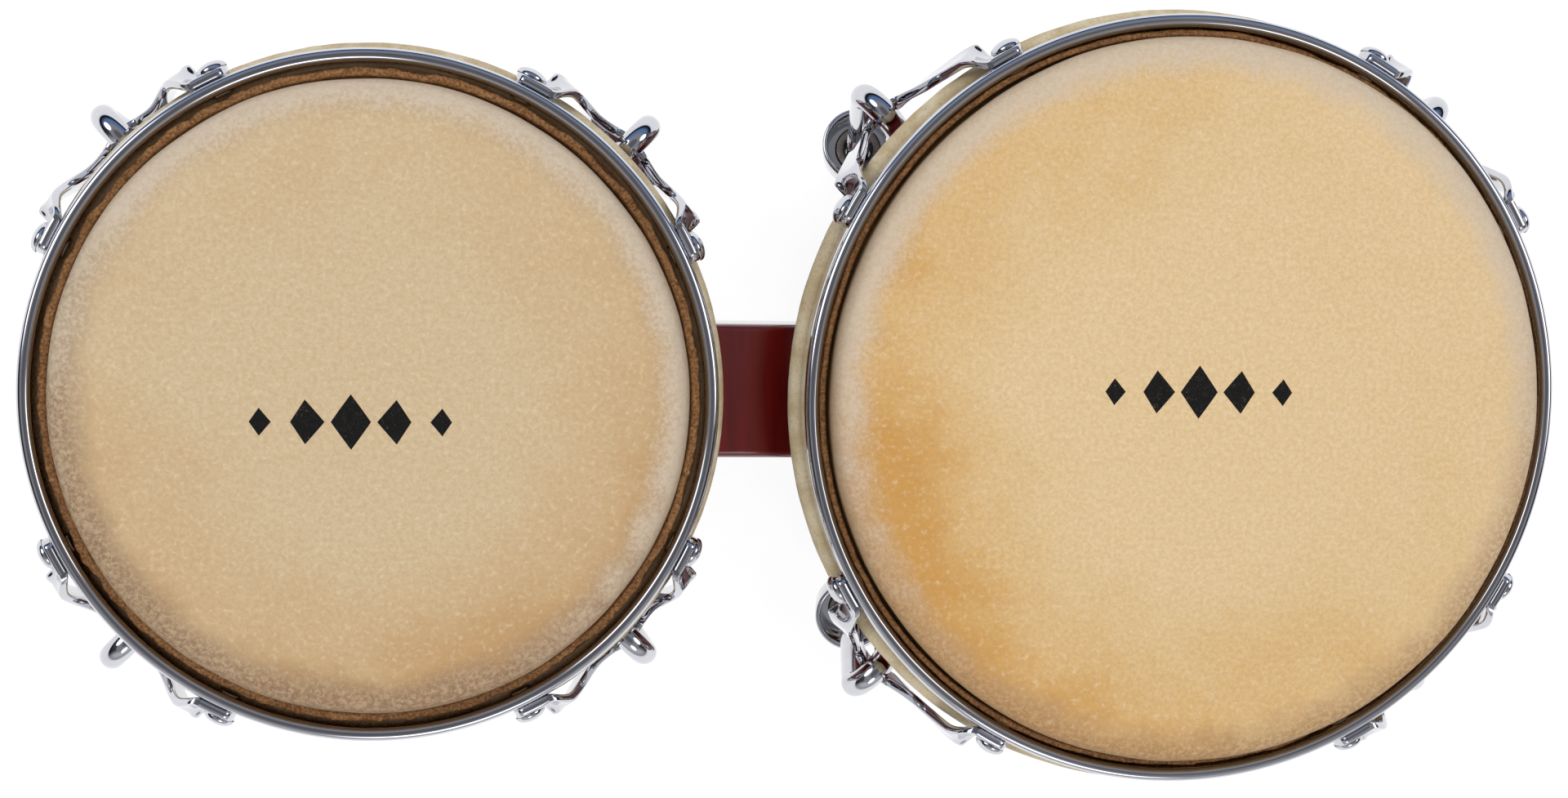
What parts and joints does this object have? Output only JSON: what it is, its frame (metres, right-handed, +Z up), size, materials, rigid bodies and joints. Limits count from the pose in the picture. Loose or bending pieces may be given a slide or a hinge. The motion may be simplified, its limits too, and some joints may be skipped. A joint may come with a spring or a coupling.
{
  "type": "bongo drums",
  "caption": "Pair of tapered wooden hand drums joined by a block, with rawhide heads, riveted steel rims and hooked tuning rods.",
  "frame": {"origin": "middle of the footprint of the whole object, on the surface that the shells stand on", "axes": "+Z up along the axes of the drums, +X from the small drum to the large drum, +Y away from the player"},
  "size_m": [0.4674, 0.2394, 0.168],
  "materials": {
    "lacquered_wood": "dark red high-gloss lacquer over straight-grained wood",
    "rawhide": "scraped rawhide, pale tan to amber, softly mottled, matt",
    "chrome": "polished chrome on steel",
    "zinc_steel": "plain zinc-coated steel",
    "brass": "turned brass"
  },
  "bodies": {
    "shells": {"small_shell": "lacquered_wood", "small_head": "rawhide", "small_washers": "zinc_steel", "small_bottom_ring": "chrome", "small_block_bolts": "zinc_steel", "small_block_plate": "zinc_steel", "large_shell": "lacquered_wood", "large_head": "rawhide", "large_washers": "zinc_steel", "large_bottom_ring": "chrome", "large_block_bolts": "zinc_steel", "large_block_plate": "zinc_steel", "centre_block": "lacquered_wood", "block_inserts": "brass"},
    "small_rim_set": {"small_rim": "chrome", "small_rivets": "chrome", "small_flesh_hoop": "zinc_steel", "small_skin_wrap": "rawhide", "small_bracket_1": "chrome", "small_bracket_2": "chrome", "small_bracket_3": "chrome", "small_bracket_4": "chrome"},
    "small_rod_set_1": {"small_rod_1": "chrome"},
    "small_nut_set_1": {"small_nut_1": "chrome"},
    "small_rod_set_2": {"small_rod_2": "chrome"},
    "small_nut_set_2": {"small_nut_2": "chrome"},
    "small_rod_set_3": {"small_rod_3": "chrome"},
    "small_nut_set_3": {"small_nut_3": "chrome"},
    "small_rod_set_4": {"small_rod_4": "chrome"},
    "small_nut_set_4": {"small_nut_4": "chrome"},
    "large_rim_set": {"large_rim": "chrome", "large_rivets": "chrome", "large_flesh_hoop": "zinc_steel", "large_skin_wrap": "rawhide", "large_bracket_1": "chrome", "large_bracket_2": "chrome", "large_bracket_3": "chrome", "large_bracket_4": "chrome"},
    "large_rod_set_1": {"large_rod_1": "chrome"},
    "large_nut_set_1": {"large_nut_1": "chrome"},
    "large_rod_set_2": {"large_rod_2": "chrome"},
    "large_nut_set_2": {"large_nut_2": "chrome"},
    "large_rod_set_3": {"large_rod_3": "chrome"},
    "large_nut_set_3": {"large_nut_3": "chrome"},
    "large_rod_set_4": {"large_rod_4": "chrome"},
    "large_nut_set_4": {"large_nut_4": "chrome"}
  },
  "joints": [
    {"name": "small_rim_draw", "type": "slide", "parent": "shells", "child": "small_rim_set", "axis": [0, 0, 1], "range_m": [-0.00275, 0.00344]},
    {"name": "small_nut_1_turn", "type": "hinge", "parent": "shells", "child": "small_nut_set_1", "pos_m": [-0.06048, 0.06911, 0.032], "axis": [0.1581, 0.1581, 0.9747], "range_deg": [-901, 721]},
    {"name": "small_rod_1_shift", "type": "slide", "parent": "small_rim_set", "child": "small_rod_set_1", "axis": [0.7071, 0.7071, 0], "range_m": [-0.00063, 0.00079]},
    {"name": "small_nut_2_turn", "type": "hinge", "parent": "shells", "child": "small_nut_set_2", "pos_m": [-0.19872, 0.06911, 0.032], "axis": [-0.1581, 0.1581, 0.9747], "range_deg": [-901, 721]},
    {"name": "small_rod_2_shift", "type": "slide", "parent": "small_rim_set", "child": "small_rod_set_2", "axis": [-0.7071, 0.7071, 0], "range_m": [-0.00063, 0.00079]},
    {"name": "small_nut_3_turn", "type": "hinge", "parent": "shells", "child": "small_nut_set_3", "pos_m": [-0.19872, -0.06911, 0.032], "axis": [-0.1581, -0.1581, 0.9747], "range_deg": [-901, 721]},
    {"name": "small_rod_3_shift", "type": "slide", "parent": "small_rim_set", "child": "small_rod_set_3", "axis": [-0.7071, -0.7071, 0], "range_m": [-0.00063, 0.00079]},
    {"name": "small_nut_4_turn", "type": "hinge", "parent": "shells", "child": "small_nut_set_4", "pos_m": [-0.06048, -0.06911, 0.032], "axis": [0.1581, -0.1581, 0.9747], "range_deg": [-901, 721]},
    {"name": "small_rod_4_shift", "type": "slide", "parent": "small_rim_set", "child": "small_rod_set_4", "axis": [0.7071, -0.7071, 0], "range_m": [-0.00063, 0.00079]},
    {"name": "large_rim_draw", "type": "slide", "parent": "shells", "child": "large_rim_set", "axis": [0, 0, 1], "range_m": [-0.00276, 0.00346]},
    {"name": "large_nut_1_turn", "type": "hinge", "parent": "shells", "child": "large_nut_set_1", "pos_m": [0.19549, 0.08149, 0.032], "axis": [0.1426, 0.1426, 0.9794], "range_deg": [-901, 721]},
    {"name": "large_rod_1_shift", "type": "slide", "parent": "large_rim_set", "child": "large_rod_set_1", "axis": [0.7071, 0.7071, 0], "range_m": [-0.00057, 0.00071]},
    {"name": "large_nut_2_turn", "type": "hinge", "parent": "shells", "child": "large_nut_set_2", "pos_m": [0.03251, 0.08149, 0.032], "axis": [-0.1426, 0.1426, 0.9794], "range_deg": [-901, 721]},
    {"name": "large_rod_2_shift", "type": "slide", "parent": "large_rim_set", "child": "large_rod_set_2", "axis": [-0.7071, 0.7071, 0], "range_m": [-0.00057, 0.00071]},
    {"name": "large_nut_3_turn", "type": "hinge", "parent": "shells", "child": "large_nut_set_3", "pos_m": [0.03251, -0.08149, 0.032], "axis": [-0.1426, -0.1426, 0.9794], "range_deg": [-901, 721]},
    {"name": "large_rod_3_shift", "type": "slide", "parent": "large_rim_set", "child": "large_rod_set_3", "axis": [-0.7071, -0.7071, 0], "range_m": [-0.00057, 0.00071]},
    {"name": "large_nut_4_turn", "type": "hinge", "parent": "shells", "child": "large_nut_set_4", "pos_m": [0.19549, -0.08149, 0.032], "axis": [0.1426, -0.1426, 0.9794], "range_deg": [-901, 721]},
    {"name": "large_rod_4_shift", "type": "slide", "parent": "large_rim_set", "child": "large_rod_set_4", "axis": [0.7071, -0.7071, 0], "range_m": [-0.00057, 0.00071]}
  ],
  "couplings": [
    {"joint": "small_nut_1_turn", "follows": "small_rim_draw", "rad_per_m": -4568.7},
    {"joint": "small_rod_1_shift", "follows": "small_rim_draw", "ratio": 0.22941},
    {"joint": "small_nut_2_turn", "follows": "small_rim_draw", "rad_per_m": -4568.7},
    {"joint": "small_rod_2_shift", "follows": "small_rim_draw", "ratio": 0.22941},
    {"joint": "small_nut_3_turn", "follows": "small_rim_draw", "rad_per_m": -4568.7},
    {"joint": "small_rod_3_shift", "follows": "small_rim_draw", "ratio": 0.22941},
    {"joint": "small_nut_4_turn", "follows": "small_rim_draw", "rad_per_m": -4568.7},
    {"joint": "small_rod_4_shift", "follows": "small_rim_draw", "ratio": 0.22941},
    {"joint": "large_nut_1_turn", "follows": "large_rim_draw", "rad_per_m": -4546.5},
    {"joint": "large_rod_1_shift", "follows": "large_rim_draw", "ratio": 0.20596},
    {"joint": "large_nut_2_turn", "follows": "large_rim_draw", "rad_per_m": -4546.5},
    {"joint": "large_rod_2_shift", "follows": "large_rim_draw", "ratio": 0.20596},
    {"joint": "large_nut_3_turn", "follows": "large_rim_draw", "rad_per_m": -4546.5},
    {"joint": "large_rod_3_shift", "follows": "large_rim_draw", "ratio": 0.20596},
    {"joint": "large_nut_4_turn", "follows": "large_rim_draw", "rad_per_m": -4546.5},
    {"joint": "large_rod_4_shift", "follows": "large_rim_draw", "ratio": 0.20596}
  ]
}
